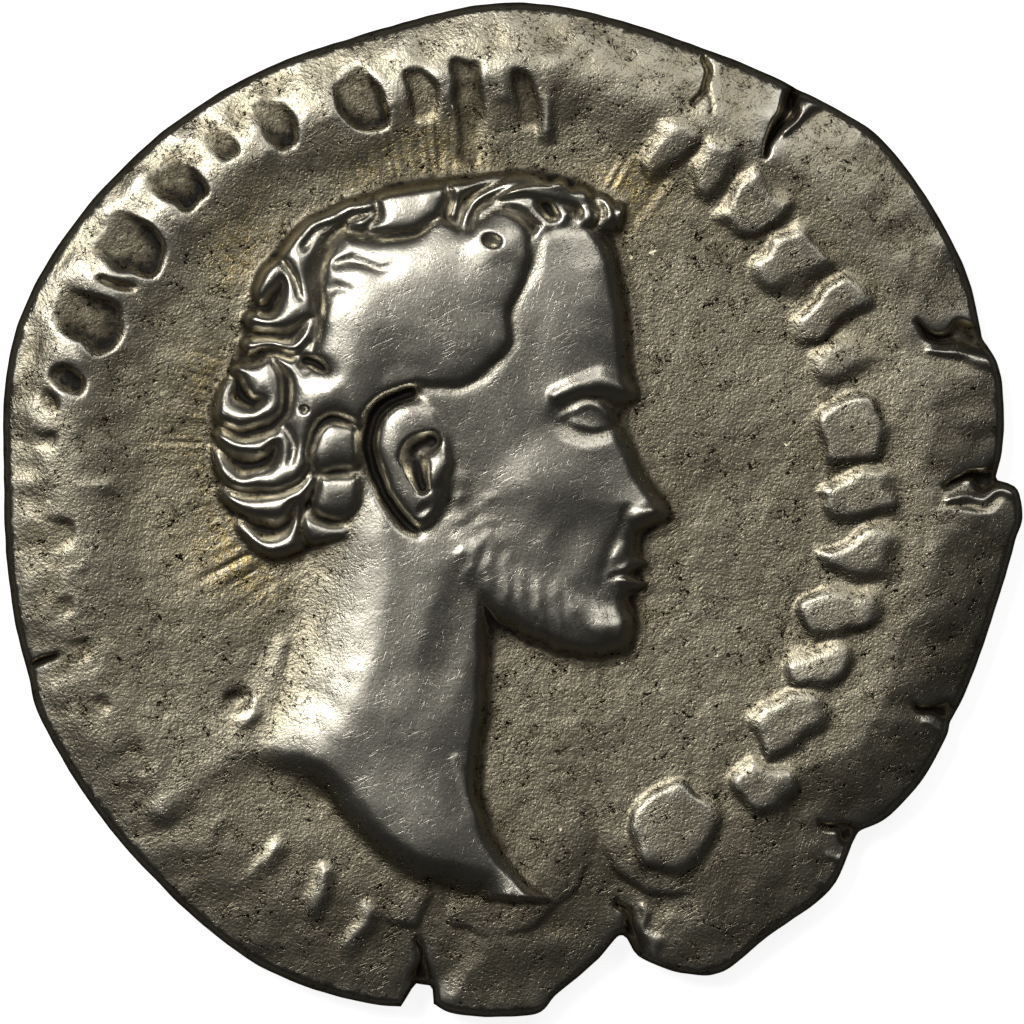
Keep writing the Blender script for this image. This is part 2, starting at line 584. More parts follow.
SIDE_GROOVES = (
    (((-4.98, 3.74), (-4.60, 3.60), (-4.36, 3.62), (-4.18, 3.86), (-4.08, 4.12)), (0.18, 0.22, 0.24, 0.20, 0.08), 0.26),
    (((-4.30, 4.50), (-4.08, 4.40), (-3.84, 4.10), (-3.78, 3.74)), (0.06, 0.12, 0.12, 0.06), 0.13),
    (((-4.94, 3.22), (-4.52, 3.10), (-4.12, 3.04), (-3.82, 3.16), (-3.64, 3.44)), (0.16, 0.24, 0.18, 0.16, 0.08), 0.24),
    (((-5.10, 2.80), (-4.60, 2.70), (-4.20, 2.80), (-3.84, 2.72), (-3.64, 2.92)), (0.16, 0.22, 0.20, 0.14, 0.08), 0.22),
    (((-4.92, 2.30), (-4.86, 2.10), (-4.66, 1.92), (-4.44, 1.92)), (0.22, 0.30, 0.24, 0.10), 0.27),
    (((-5.56, 1.62), (-5.22, 1.46), (-4.76, 1.34), (-4.28, 1.50), (-4.02, 1.92), (-4.06, 2.38), (-4.30, 2.66)), (0.12, 0.18, 0.22, 0.20, 0.14, 0.12, 0.08), 0.22),
    (((-5.30, 1.24), (-5.06, 0.92), (-4.66, 0.76), (-4.32, 0.86), (-4.24, 1.14)), (0.08, 0.22, 0.30, 0.24, 0.12), 0.25),
    (((-5.40, 0.66), (-5.00, 0.34), (-4.36, 0.24), (-3.84, 0.42), (-3.52, 0.76)), (0.10, 0.16, 0.16, 0.14, 0.10), 0.17),
    (((-5.10, 0.02), (-4.76, -0.22), (-4.34, -0.34), (-3.98, -0.22), (-3.86, 0.06)), (0.12, 0.24, 0.34, 0.26, 0.10), 0.27),
    (((-4.04, 1.46), (-3.90, 1.14), (-3.98, 0.82)), (0.10, 0.10, 0.05), 0.10),
    (((-3.42, 0.66), (-3.60, 0.98), (-3.52, 1.36), (-3.22, 1.60), (-2.80, 1.50), (-2.60, 1.16)), (0.10, 0.12, 0.14, 0.16, 0.14, 0.10), 0.19),
    (((-3.52, 0.62), (-3.08, 0.66), (-2.62, 0.72)), (0.12, 0.16, 0.14), 0.18),
    (((-3.44, 0.58), (-3.60, 0.14), (-3.44, -0.16), (-3.00, -0.26), (-2.62, -0.14)), (0.10, 0.18, 0.16, 0.14, 0.12), 0.19),
    (((-3.66, 0.06), (-3.74, -0.28), (-3.64, -0.72), (-3.58, -0.98)), (0.18, 0.14, 0.14, 0.10), 0.20),
)
PITS = (((-3.62, 0.08), 0.13, 0.10), ((-4.52, 2.76), 0.12, 0.08), ((-4.30, 3.66), 0.13, 0.08), ((-3.70, 1.72), 0.07, 0.05))


# %% The hair
def hair():
    """Heights of the hair, and how deep inside its outline each place is."""
    outline = np.vstack([smooth_line(HAIR_BACK), smooth_line(HAIR_FRONT)])
    depth = depth_inside(outline)
    back = nearest_on(smooth_line(HAIR_BACK), X, Y)[0]
    front = nearest_on(smooth_line(HAIR_FRONT), X, Y)[0]
    heights = soft_step(back / 0.30) * HAIR_WALL + HAIR_RISE * shoulder(back, HAIR_DOME, 1.6)
    cap = depth_inside(smooth_line(HAIR_CAP, closed=True))
    heights += CAP_RISE * shoulder(cap, CAP_SLOPE, 1.7)
    cut = np.maximum(carve(CHANNELS), np.maximum(carve(TOP_GROOVES), carve(SIDE_GROOVES)))
    for centre, size, pit in PITS:
        cut = np.maximum(cut, mound(centre, size, size, 0, pit + 0.2, 1.5))
    heights -= warp(cut, 0.02, 0.14, 41)
    lump = (-0.32, 4.72)
    heights += mound(lump, 0.52, 0.48, 0, 0.05, 1.5)
    heights -= mound((lump[0] - 0.02, lump[1] + 0.04), 0.22, 0.14, -10, 0.16, 0.8)
    return np.maximum(heights, 0.02) * (depth > 0) * soft_step(front / 0.45), depth


# %% [markdown]
# ## The ear
# The ear is as high as one third of the face and a little over half as wide, like an egg that leans back with
# its broad end up. Its rolled rim is worn to one flat band round the hollow, which opens towards the cheek.

# %% The ear
EAR_HEIGHT = THIRD
EAR_WIDTH = 0.58 * THIRD
EAR_LEAN = 10
EAR_LEVEL = 0.50


def in_ear(across, up):
    """A place given from the ear's middle, in shares of its width and height, turned by its lean."""
    lean = math.radians(EAR_LEAN)
    east = EAR_WIDTH * across
    north = EAR_HEIGHT * up
    turned_x = EAR[0] + east * np.cos(lean) - north * np.sin(lean)
    return np.column_stack([turned_x, EAR[1] + east * np.sin(lean) + north * np.cos(lean)])


def ear(heights):
    """The head with the ear on it: a ditch behind it, its flat rim, the hollow and the lobe."""
    turn = np.radians(np.arange(0, 360, 10))
    depth = depth_inside(in_ear(np.cos(turn) * (0.5 + 0.1 * np.sin(turn)), 0.5 * np.sin(turn)))
    behind = soft_step((EAR[0] + 0.25 - X) / 0.5)
    ditch = (0.015 + 0.20 * behind) * np.exp(-(((depth + 0.06) / 0.11) ** 2))
    inside = soft_step(depth / 0.18 + 0.35)
    made = heights * (1 - inside) + (EAR_LEVEL + 0.14 * shoulder(depth, 0.5)) * inside - ditch
    hollow = smooth_line(in_ear(np.array([0.26, 0.0, 0.04]), np.array([0.14, 0.06, -0.20])))
    made -= ridge(hollow, (0.40, 0.56, 0.24), 0.26, 0.9)
    tragus, dimple = in_ear(np.array([0.30, 0.02]), np.array([-0.08, -0.36]))
    made += mound(tragus, 0.36, 0.20, 62, 0.12, 1)
    made -= mound(dimple, 0.20, 0.12, 25, 0.06, 1)
    return np.maximum(made, 0)


def bust():
    """The whole bust, with its high places worn to one level."""
    hairs, hair_depth = hair()
    skin = face()
    under = 1 - soft_step((hair_depth - 0.42) / 0.35)
    head = higher(skin * under, hairs, 0.05) - 0.035 * np.exp(-(((hair_depth - 0.36) / 0.11) ** 2)) * (skin > 0.2)
    body = neck()
    made = higher(head, body, 0.05) * (np.maximum(head, body) > 0.0005)
    made = ear(made)
    return RELIEF - np.log1p(np.exp((RELIEF - made) / WEAR)) * WEAR

# %% [markdown]
# ## The rim and the ring of strokes
# The die was wider than the flan, so there is no neat border. High on the left and top the ring of strokes runs out
# into a sloping shelf at the edge, and dark hollows lie between the strokes. On the right the strokes stand
# free. They are plain wedges and mounds, and they spell nothing.

# %% Strokes and hollows round the edge
SHELF_SIDE = 146
SHELF_HEIGHT = 0.17
SHELF_WIDTH = 0.95
SHELF_FOOT = 1.7
EDGE_SLOPE = 0.37
EDGE_REACH = 1.35
STROKE_HEIGHT = 0.12
HOLLOW_FLOOR = -0.04
# Ridges: (angle, inner radius, outer radius, widths from the inner end, lean, height).
LEFT_RIDGES = (
    (85.0, 6.60, 8.20, (0.22, 0.30, 0.44), 4, 0.16),
    (91.5, 7.20, 8.40, (0.26, 0.40, 0.60), -6, 0.16),
    (99.0, 7.30, 8.50, (0.26, 0.36, 0.60), 8, 0.15),
    (105.8, 7.40, 8.60, (0.26, 0.46, 0.70), -4, 0.16),
    (117.2, 7.70, 8.75, (0.24, 0.42, 0.66), -8, 0.17),
    (124.8, 7.60, 8.80, (0.22, 0.44, 0.70), 6, 0.17),
    (131.2, 7.85, 8.90, (0.24, 0.50, 0.70), -4, 0.17),
    (139.4, 7.70, 9.00, (0.26, 0.60, 0.90), 8, 0.18),
    (151.0, 8.05, 9.10, (0.30, 0.60, 0.90), 6, 0.18),
    (160.6, 7.85, 9.00, (0.26, 0.50, 0.80), -8, 0.17),
    (168.6, 7.80, 8.90, (0.20, 0.34, 0.50), 6, 0.14),
    (177.0, 7.15, 8.70, (0.20, 0.30, 0.46), 2, 0.14),
    (188.3, 7.50, 8.85, (0.26, 0.46, 0.70), 10, 0.16),
    (195.0, 7.60, 8.80, (0.24, 0.38, 0.56), -6, 0.15),
    (202.0, 7.70, 8.90, (0.26, 0.48, 0.70), 8, 0.16),
    (208.6, 7.70, 8.75, (0.24, 0.40, 0.60), -8, 0.14),
    (221.0, 7.70, 8.50, (0.22, 0.30, 0.40), -4, 0.11),
    (227.6, 7.50, 8.40, (0.22, 0.32, 0.40), 8, 0.12),
    (235.0, 7.20, 8.10, (0.24, 0.34, 0.36), -8, 0.12),
    (243.4, 7.20, 8.10, (0.22, 0.34, 0.36), 8, 0.12),
    (250.2, 7.50, 8.40, (0.22, 0.30, 0.32), -6, 0.11),
)
# Hollows: (angle, inner radius, outer radius, widths from the inner end, lean, depth).
LEFT_HOLLOWS = (
    (88.2, 6.70, 7.70, (0.34, 0.42, 0.36), 4, 0.10),
    (96.0, 6.20, 8.05, (0.30, 0.52, 0.46), -3, 0.12),
    (102.2, 7.10, 7.95, (0.36, 0.46, 0.40), 4, 0.10),
    (110.6, 7.30, 8.30, (0.50, 0.78, 0.62), 6, 0.14),
    (121.4, 7.50, 8.62, (0.40, 0.56, 0.46), -4, 0.14),
    (128.2, 8.00, 8.72, (0.34, 0.40, 0.36), 2, 0.12),
    (135.6, 7.80, 8.82, (0.52, 0.74, 0.62), 5, 0.15),
    (145.6, 7.75, 8.98, (0.66, 0.86, 0.80), 3, 0.16),
    (150.6, 7.80, 8.35, (0.08, 0.16, 0.10), 14, 0.12),
    (156.0, 7.70, 8.92, (0.60, 0.74, 0.66), -4, 0.16),
    (163.8, 8.00, 8.50, (0.20, 0.30, 0.24), 0, 0.14),
    (167.0, 8.30, 8.60, (0.20, 0.24, 0.20), 0, 0.10),
    (171.6, 8.20, 8.80, (0.22, 0.34, 0.30), 0, 0.09),
    (183.4, 7.80, 8.72, (0.40, 0.60, 0.50), 4, 0.10),
    (192.4, 7.90, 8.62, (0.28, 0.40, 0.34), 0, 0.10),
    (198.6, 7.90, 8.70, (0.30, 0.44, 0.36), 4, 0.11),
    (205.4, 7.90, 8.62, (0.30, 0.40, 0.34), 0, 0.11),
    (214.0, 7.80, 8.60, (0.50, 0.60, 0.50), 0, 0.08),
    (235.8, 7.80, 8.40, (0.20, 0.34, 0.26), 0, 0.12),
    (247.0, 7.60, 8.30, (0.20, 0.30, 0.24), 0, 0.08),
)
# Strokes on the right: (start, end, widths, height).
RIGHT_STROKES = (
    ((2.45, 5.90), (3.20, 6.70), (0.40, 0.62, 0.56), 0.17),
    ((3.42, 5.62), (3.82, 6.44), (0.36, 0.56, 0.50), 0.15),
    ((3.80, 4.92), (4.66, 5.68), (0.50, 0.80, 0.90), 0.22),
    ((4.44, 4.02), (5.38, 4.76), (0.50, 0.78, 0.80), 0.19),
    ((5.10, 3.10), (6.16, 3.94), (0.56, 0.68, 0.76), 0.19),
    ((5.44, 2.60), (6.24, 2.80), (0.44, 0.58, 0.44), 0.14),
    ((5.58, 1.20), (6.56, 1.62), (1.06, 1.30, 1.06), 0.21),
    ((5.60, 0.10), (6.84, 0.32), (0.56, 0.80, 0.72), 0.20),
    ((5.54, -0.92), (6.74, -0.78), (0.50, 0.74, 0.62), 0.18),
    ((5.20, -2.00), (6.44, -1.76), (0.56, 0.80, 0.60), 0.20),
    ((4.90, -2.98), (6.04, -2.62), (0.56, 0.76, 0.56), 0.18),
    ((4.40, -3.94), (5.50, -3.58), (0.56, 0.80, 0.56), 0.19),
    ((3.98, -5.10), (4.88, -4.66), (0.66, 0.98, 0.78), 0.19),
    ((2.40, -5.26), (3.36, -6.14), (0.90, 1.40, 1.16), 0.22),
)


def left_strokes(ledge):
    """The ridges and hollows of the left and top, on the shelf."""
    ridges = np.zeros(X.shape)
    for angle, inner, outer, widths, lean, height in LEFT_RIDGES:
        ridges = np.maximum(ridges, height * block(spoke(angle, inner, outer, lean), widths, 0.30))
    made = higher(ledge, 0.9 * ridges, 0.06)
    hollows = np.zeros(X.shape)
    for angle, inner, outer, widths, lean, cut in LEFT_HOLLOWS:
        hollows = np.maximum(hollows, cut / 0.16 * block(spoke(angle, inner, outer, lean), widths, 0.16))
    made -= edge_slope()
    return made * (1 - hollows) + np.minimum(made, HOLLOW_FLOOR) * hollows, hollows


def right_strokes():
    """The free strokes of the right, worn to one level."""
    made = np.zeros(X.shape)
    for start, end, widths, height in RIGHT_STROKES:
        line = np.array([start, end], float)
        made = np.maximum(made, height / 0.20 * STROKE_HEIGHT * block(line, widths, 0.30))
    return np.minimum(warp(made, 0.05, 0.22, 51), 0.92 * STROKE_HEIGHT)


def shelf():
    """The sloping shelf of the left and top edge, and the soft low border of the right."""
    side = soft_step((np.cos(np.radians(ANGLE - SHELF_SIDE)) + 0.30) / 0.75)
    outward = np.clip(1 - INSET / SHELF_WIDTH, 0, 1)
    inward = soft_step(1 - (INSET - SHELF_WIDTH) / SHELF_FOOT)
    level = np.where(INSET < SHELF_WIDTH, 1 - 0.2 * outward, inward)
    return SHELF_HEIGHT * (0.12 + 0.88 * side) * level


def edge_slope():
    """How far the broad slope towards the edge has fallen at each place."""
    reach = EDGE_REACH + 1.1 * soft_step((np.cos(np.radians(ANGLE - 248)) - 0.1) / 0.7)
    return EDGE_SLOPE * np.clip(1 - INSET / reach, 0, 1) ** 1.4


# %% [markdown]
# ## Damage
# Cracks ran in from the edge when the coin was struck. Later knocks left a ding behind the neck, nicks and
# scratches. Each is a line or spot that takes height away, and a bright raised lip stands beside the worst.

# %% Cracks, hollows at the edge, nicks and scratches
# Cracks: (points from the edge inwards, widths, depth).
CRACKS = (
    (((5.16, 7.66), (4.96, 7.22), (4.80, 6.92), (4.66, 6.62), (4.52, 6.30)), (0.36, 0.28, 0.20, 0.11, 0.03), 0.60),
    (((3.46, 8.10), (3.52, 7.66), (3.40, 7.34), (3.12, 7.16)), (0.10, 0.08, 0.06, 0.03), 0.16),
    (((3.50, 7.60), (3.64, 7.10)), (0.06, 0.02), 0.10),
    (((8.50, 3.02), (8.10, 3.12), (7.75, 3.10), (7.20, 3.26)), (0.50, 0.40, 0.12, 0.04), 0.30),
    (((8.80, 0.60), (8.40, 0.54), (8.05, 0.50), (7.70, 0.36)), (0.46, 0.34, 0.12, 0.04), 0.30),
    (((8.10, -3.64), (7.75, -3.62), (7.50, -3.60), (7.20, -3.46)), (0.50, 0.34, 0.14, 0.05), 0.26),
    (((6.30, -5.90), (5.98, -5.82), (5.74, -5.74), (5.50, -5.56)), (0.56, 0.40, 0.16, 0.05), 0.30),
    (((2.10, -7.90), (2.04, -7.60), (1.98, -7.36), (1.84, -6.95)), (0.56, 0.36, 0.14, 0.05), 0.30),
    (((-1.58, -8.66), (-1.60, -8.36), (-1.64, -8.10), (-1.70, -7.72)), (0.46, 0.36, 0.16, 0.05), 0.28),
    (((-8.84, -2.86), (-8.45, -2.70), (-8.05, -2.58)), (0.20, 0.16, 0.06), 0.26),
)
# Raised lips: (points, widths, height).
CRACK_LIPS = (
    (((4.88, 6.74), (5.06, 7.04), (5.44, 7.22), (5.90, 7.18)), (0.12, 0.22, 0.26, 0.16), 0.08),
    (((7.50, 2.86), (8.00, 2.74), (8.60, 2.56)), (0.14, 0.30, 0.30), 0.09),
    (((7.80, 0.20), (8.40, 0.18), (9.00, 0.30)), (0.12, 0.24, 0.30), 0.08),
    (((7.30, -3.84), (7.70, -3.96), (8.10, -4.06)), (0.12, 0.24, 0.24), 0.05),
    (((5.70, -6.10), (6.00, -6.26), (6.30, -6.40)), (0.12, 0.24, 0.24), 0.05),
    (((2.30, -7.10), (2.46, -7.60), (2.60, -8.00)), (0.12, 0.24, 0.24), 0.05),
)
# Scratches: (start, end, width, depth).
SCRATCHES = (
    ((6.90, 4.98), (7.56, 3.54), 0.05, 0.020),
    ((6.98, 4.90), (7.64, 3.48), 0.04, 0.016),
    ((7.46, 1.66), (7.92, 1.86), 0.04, 0.016),
    ((6.56, -4.42), (6.44, -5.24), 0.05, 0.016),
    ((3.90, -4.20), (6.20, -3.90), 0.03, 0.006),
    ((-0.20, 4.20), (1.10, 3.72), 0.03, 0.008),
    ((-3.80, -3.10), (-3.10, -3.60), 0.04, 0.012),
    ((-2.60, -1.70), (-1.90, -1.76), 0.03, 0.012),
    ((-1.10, -1.20), (-0.42, -0.72), 0.03, 0.010),
    ((-0.60, 0.10), (0.10, -0.30), 0.03, 0.008),
    ((-4.60, -2.30), (-3.90, -2.46), 0.03, 0.012),
    ((1.20, 7.40), (2.20, 7.10), 0.03, 0.008),
    ((-2.60, -7.90), (-1.90, -7.66), 0.03, 0.008),
)
DING = (-4.92, -3.42)


def damage():
    """How much the cracks, nicks and scratches take away, lips counted against it."""
    lost = np.zeros(X.shape)
    for points, widths, cut in CRACKS:
        lost = np.maximum(lost, ridge(smooth_line(points), widths, cut, 0.75))
    for points, widths, height in CRACK_LIPS:
        lost -= ridge(smooth_line(points), widths, height, 1.1)
    for start, end, width, cut in SCRATCHES:
        lost += ridge(np.array([start, end]), (width * 0.5, width, width * 0.4), cut, 1)
    lost += mound(DING, 0.42, 0.24, 62, 0.06, 1.2) + mound((DING[0] - 0.10, DING[1] + 0.10), 0.20, 0.12, 40, 0.05, 1)
    lost -= mound((DING[0] + 0.16, DING[1] - 0.16), 0.46, 0.20, 62, 0.05, 1.5)
    return lost


# %% [markdown]
# ## Striking and wear
# All forms are added up, blurred a little as metal flows in the die, and given what use leaves: a field that
# isn't flat, pits, and fine flow lines that run away from the hair. The very edge rounds over sharply.

# %% The obverse
RELIEF = 0.68
WEAR = 0.045
STRIKE_BLUR = 0.028
FLOW_CENTRE = (-0.9, 1.1)
EDGE_DROP = 0.15
EDGE_ROUND = 0.13


def flow_lines():
    """Fine lines that stream away from the hair, and how strong they are at each place."""
    line = smooth_line(HAIR_BACK[2:])
    distance = np.ones(X.shape) * 9
    near = window(line, 2.2)
    distance[near] = nearest_on(line, X[near], Y[near])[0]
    strength = np.exp(-(distance / 0.95) ** 2) * soft_step((distance - 0.02) / 0.06)
    turn = np.arctan2(Y - FLOW_CENTRE[1], X - FLOW_CENTRE[0])
    strength *= np.clip(0.65 + 0.45 * clouds(0.45, 7), 0, 1.3)
    counts = np.random.default_rng(5).standard_normal(640)
    lines = np.interp((turn / (2 * math.pi)) % 1 * len(counts), np.arange(len(counts) + 1), np.append(counts, counts[0]))
    return lines, strength


def edge_fall():
    """How far the rounded edge has fallen at each place."""
    gap = np.clip(1 - INSET / EDGE_ROUND, 0, 1)
    return EDGE_DROP * (1 - np.sqrt(1 - 0.97 * gap**2))


def obverse():
    """The finished obverse and the masks that its finish needs."""
    field, hollows = left_strokes(shelf())
    field += right_strokes()
    raised = bust()
    lines, flow = flow_lines()
    uneven = 0.014 * clouds(0.9, 1) + 0.004 * clouds(0.30, 2) + 0.0018 * clouds(0.12, 5)
    field = warp(field, 0.045, 0.16, 11)
    raised = warp(raised, 0.012, 0.12, 21)
    made = field * (1 - soft_step(raised / 0.08)) + raised + uneven
    made = blur(made - warp(damage(), 0.05, 0.12, 23), STRIKE_BLUR)
    open_field = np.exp(-((raised / 0.05) ** 2))
    made += 0.009 * lines * flow * open_field
    made += (0.0012 * clouds(0.035, 3) + 0.0018 * clouds(0.06, 4)) * (0.35 + 0.65 * open_field)
    return made - edge_fall(), raised, flow * open_field, warp(hollows, 0.045, 0.16, 11)


TOP, BUST, FLOW, TONED = obverse()
print("relief from", round(TOP[INSET > 0].min(), 2), "to", round(TOP[INSET > 0].max(), 2), "mm")

# %% [markdown]
# ## The reverse
# The photograph doesn't show the underside, so it gets a plain design of the usual kind: a standing draped figure
# with a staff and a bowl, strokes on both sides, and a ring of beads. The coin lies on this side, so its
# highest parts are worn to one flat level.

# %% The reverse
FIGURE = (
    (-0.10, 4.25),
    (-1.05, 3.80),
    (-1.20, 2.60),
    (-0.85, 1.30),
    (-1.30, -0.20),
    (-1.45, -2.60),
    (-1.85, -5.40),
    (0.00, -5.65),
    (1.90, -5.35),
    (1.55, -2.60),
    (1.35, -0.20),
    (0.85, 1.30),
    (1.30, 2.60),
    (1.10, 3.75),
)
FIGURE_HEAD = (-0.12, 5.10)
STAFF = 2.95
FOLDS = 7
BEADS = 50
BEAD_RING = 7.65
BACK_RELIEF = 0.30
BACK_STROKES = 9
BACK_SPAN = 112


def standing_figure():
    """A standing draped figure with a staff in one hand and a shallow bowl in the other."""
    made = 0.38 * shoulder(depth_inside(smooth_line(FIGURE, closed=True)), 0.6)
    for fold in range(FOLDS):
        spread = 2 * fold / (FOLDS - 1) - 1
        line = smooth_line(((0.40 * spread, 0.9), (0.95 * spread - 0.1, -2.2), (1.50 * spread, -5.3)))
        made -= ridge(line, (0.14, 0.26, 0.34), 0.18, 1)
    parts = (
        (((-1.10, 1.3), (-0.20, 0.30), (1.00, 0.60), (1.35, 2.3)), (0.50, 0.56)),
        (((-0.90, 3.60), (0.10, 2.60), (1.00, 1.20)), (0.30, 0.36)),
        (((-1.00, 3.00), (-0.20, 2.00), (0.70, 1.00)), (0.22, 0.28)),
        (((1.45, 2.1), (1.85, 0.6), (1.75, -1.6)), (0.56, 0.30)),
        (((0.95, 3.4), (2.00, 2.6), (2.85, 3.5)), (0.76, 0.56, 0.40)),
        (((-0.95, 3.3), (-1.75, 1.9), (-2.85, 1.50)), (0.76, 0.56, 0.40)),
        (((STAFF, -6.15), (STAFF, 5.5)), (0.34, 0.30)),
        (((-3.65, 1.75), (-3.20, 1.30), (-2.65, 1.40)), (0.34, 0.40, 0.34)),
        (((-3.4, -6.15), (3.4, -6.15)), (0.26, 0.32, 0.26)),
    )
    for points, widths in parts:
        made = np.maximum(made, ridge(smooth_line(points), widths, 0.33, 0.6))
    lumps = (
        (FIGURE_HEAD, 0.84, 0.68, 90),
        ((FIGURE_HEAD[0] + 0.62, FIGURE_HEAD[1] - 0.12), 0.36, 0.32, 0),
        ((STAFF, 5.6), 0.34, 0.34, 0),
        ((-0.95, -5.75), 0.50, 0.26, 0),
        ((0.95, -5.75), 0.50, 0.26, 0),
    )
    for centre, long, wide, tilt in lumps:
        made = np.maximum(made, mound(centre, long, wide, tilt, 0.35, 0.6))
    for wave in range(4):
        curl = arc((FIGURE_HEAD[0] + 0.12 * wave, FIGURE_HEAD[1] + 0.05), 0.62 - 0.10 * wave, 60, 120)
        made -= ridge(curl, (0.05, 0.10, 0.05), 0.05, 1)
    return made


def reverse():
    """The finished reverse, as heights that point down from its field."""
    made = standing_figure()
    for bead in range(BEADS):
        angle = 2 * math.pi * bead / BEADS
        place = (BEAD_RING * math.cos(angle), BEAD_RING * math.sin(angle))
        made = np.maximum(made, mound(place, 0.25, 0.25, 0, 0.20))
    for side in (0, 180):
        for count in range(BACK_STROKES):
            angle = side + BACK_SPAN * (count / (BACK_STROKES - 1) - 0.5)
            made = np.maximum(made, ridge(spoke(angle, 6.0, 7.1, 14 * (-1) ** count), (0.34, 0.56), 0.22, 1))
    made = np.maximum(made, 0.36 * np.exp(-(((INSET - 0.60) / 0.34) ** 2)))
    made = warp(made, 0.03, 0.16, 31) + 0.012 * clouds(0.8, 33)
    worn = BACK_RELIEF - np.log1p(np.exp((BACK_RELIEF - made) / 0.02)) * 0.02
    lost = np.zeros(X.shape)
    for points, widths, cut in CRACKS:
        lost = np.maximum(lost, ridge(smooth_line(points), widths, 0.5 * cut, 0.75))
    worn = blur(worn - lost, 0.03) + 0.003 * clouds(0.06, 34)
    return np.minimum(worn, BACK_RELIEF) - 1.5 * edge_fall() - 0.3 * edge_slope()


UNDER = reverse()
print("reverse stands at most", round(UNDER.max(), 3), "mm proud")

# %% [markdown]
# ## The blank
# A square grid with even cells becomes a disc more gracefully than a circle fan does, because no point has
# hundreds of edges. The grid is extruded down, which gives the blank its wall and underside, the wall is cut
# into rows, and the top is subdivided once more, because it carries the finer picture.

# %% A square blank with a wall
CELLS = 225
WALL_ROWS = 5
UPPER_SKIN = -0.01

bpy.ops.object.select_all(action="DESELECT")
bpy.ops.mesh.primitive_grid_add(x_subdivisions=CELLS, y_subdivisions=CELLS, size=2, location=(0, 0, 0))
coin = bpy.context.object
coin.name = "denarius_silver"
coin.data.name = "denarius_silver"


def vertex_places(obj):
    places = np.empty(3 * len(obj.data.vertices), np.float32)
    obj.data.vertices.foreach_get("co", places)
    return places.reshape(-1, 3).astype(float)


def choose_edges(obj, chosen):
    """Selects these edges, and their ends, and nothing else, and enters edit mode."""
    ends = np.empty(2 * len(obj.data.edges), np.int32)
    obj.data.edges.foreach_get("vertices", ends)
    points = np.zeros(len(obj.data.vertices), bool)
    points[ends.reshape(-1, 2)[chosen].ravel()] = True
    obj.data.polygons.foreach_set("select", np.zeros(len(obj.data.polygons), bool))
    obj.data.edges.foreach_set("select", chosen)
    obj.data.vertices.foreach_set("select", points)
    bpy.context.tool_settings.mesh_select_mode = (False, True, False)
    bpy.ops.object.mode_set(mode="EDIT")


def edge_ends(obj):
    ends = np.empty(2 * len(obj.data.edges), np.int32)
    obj.data.edges.foreach_get("vertices", ends)
    return vertex_places(obj)[ends.reshape(-1, 2)]


bpy.ops.object.mode_set(mode="EDIT")
bpy.ops.mesh.select_all(action="SELECT")
bpy.ops.mesh.extrude_region_move(TRANSFORM_OT_translate={"value": (0, 0, -1)})
bpy.ops.mesh.select_all(action="SELECT")
bpy.ops.mesh.normals_make_consistent(inside=False)
bpy.ops.object.mode_set(mode="OBJECT")
ends = edge_ends(coin)
choose_edges(coin, np.abs(ends[:, 0, 2] - ends[:, 1, 2]) > 0.5)
bpy.ops.mesh.subdivide(number_cuts=WALL_ROWS)
bpy.ops.object.mode_set(mode="OBJECT")
ends = edge_ends(coin)
choose_edges(coin, ends[:, :, 2].min(axis=1) > UPPER_SKIN)
bpy.ops.mesh.subdivide(number_cuts=1)
bpy.ops.object.mode_set(mode="OBJECT")
print("blank:", len(coin.data.vertices), "points and", len(coin.data.polygons), "faces")


# %% [markdown]
# ## Striking
# Now every point of the blank moves to its place. The square's points go to a disc ring by ring, the disc is
# stretched to the torn outline, and the two height maps set how high the top and bottom skins lie. The wall
# bulges a little between them and is rough, as torn metal is.

# %% Strike the coin
BACK_FIELD = 0.30
FRONT_FIELD = 1.32
WALL_BULGE = 0.12
EASE = 0.002


def rounded(u, v):
    """A square's places moved to a disc of radius 1, keeping their spacing even."""
    wide = np.abs(u) > np.abs(v)
    radius = np.where(wide, u, v)
    other = np.where(wide, v, u)
    turn = np.pi / 4 * other / np.where(radius == 0, 1, radius)
    near = radius * np.cos(turn)
    far = radius * np.sin(turn)
    return np.where(wide, near, far), np.where(wide, far, near)


def read_map(heights, x, y):
    """The map's value at any places, from its four nearest ones."""
    across = np.clip((x + REACH) / PITCH, 0, len(AXIS) - 1.001)
    down = np.clip((y + REACH) / PITCH, 0, len(AXIS) - 1.001)
    column = across.astype(int)
    row = down.astype(int)
    right = across - column
    up = down - row
    lower = heights[row, column] * (1 - right) + heights[row, column + 1] * right
    upper = heights[row + 1, column] * (1 - right) + heights[row + 1, column + 1] * right
    return lower * (1 - up) + upper * up


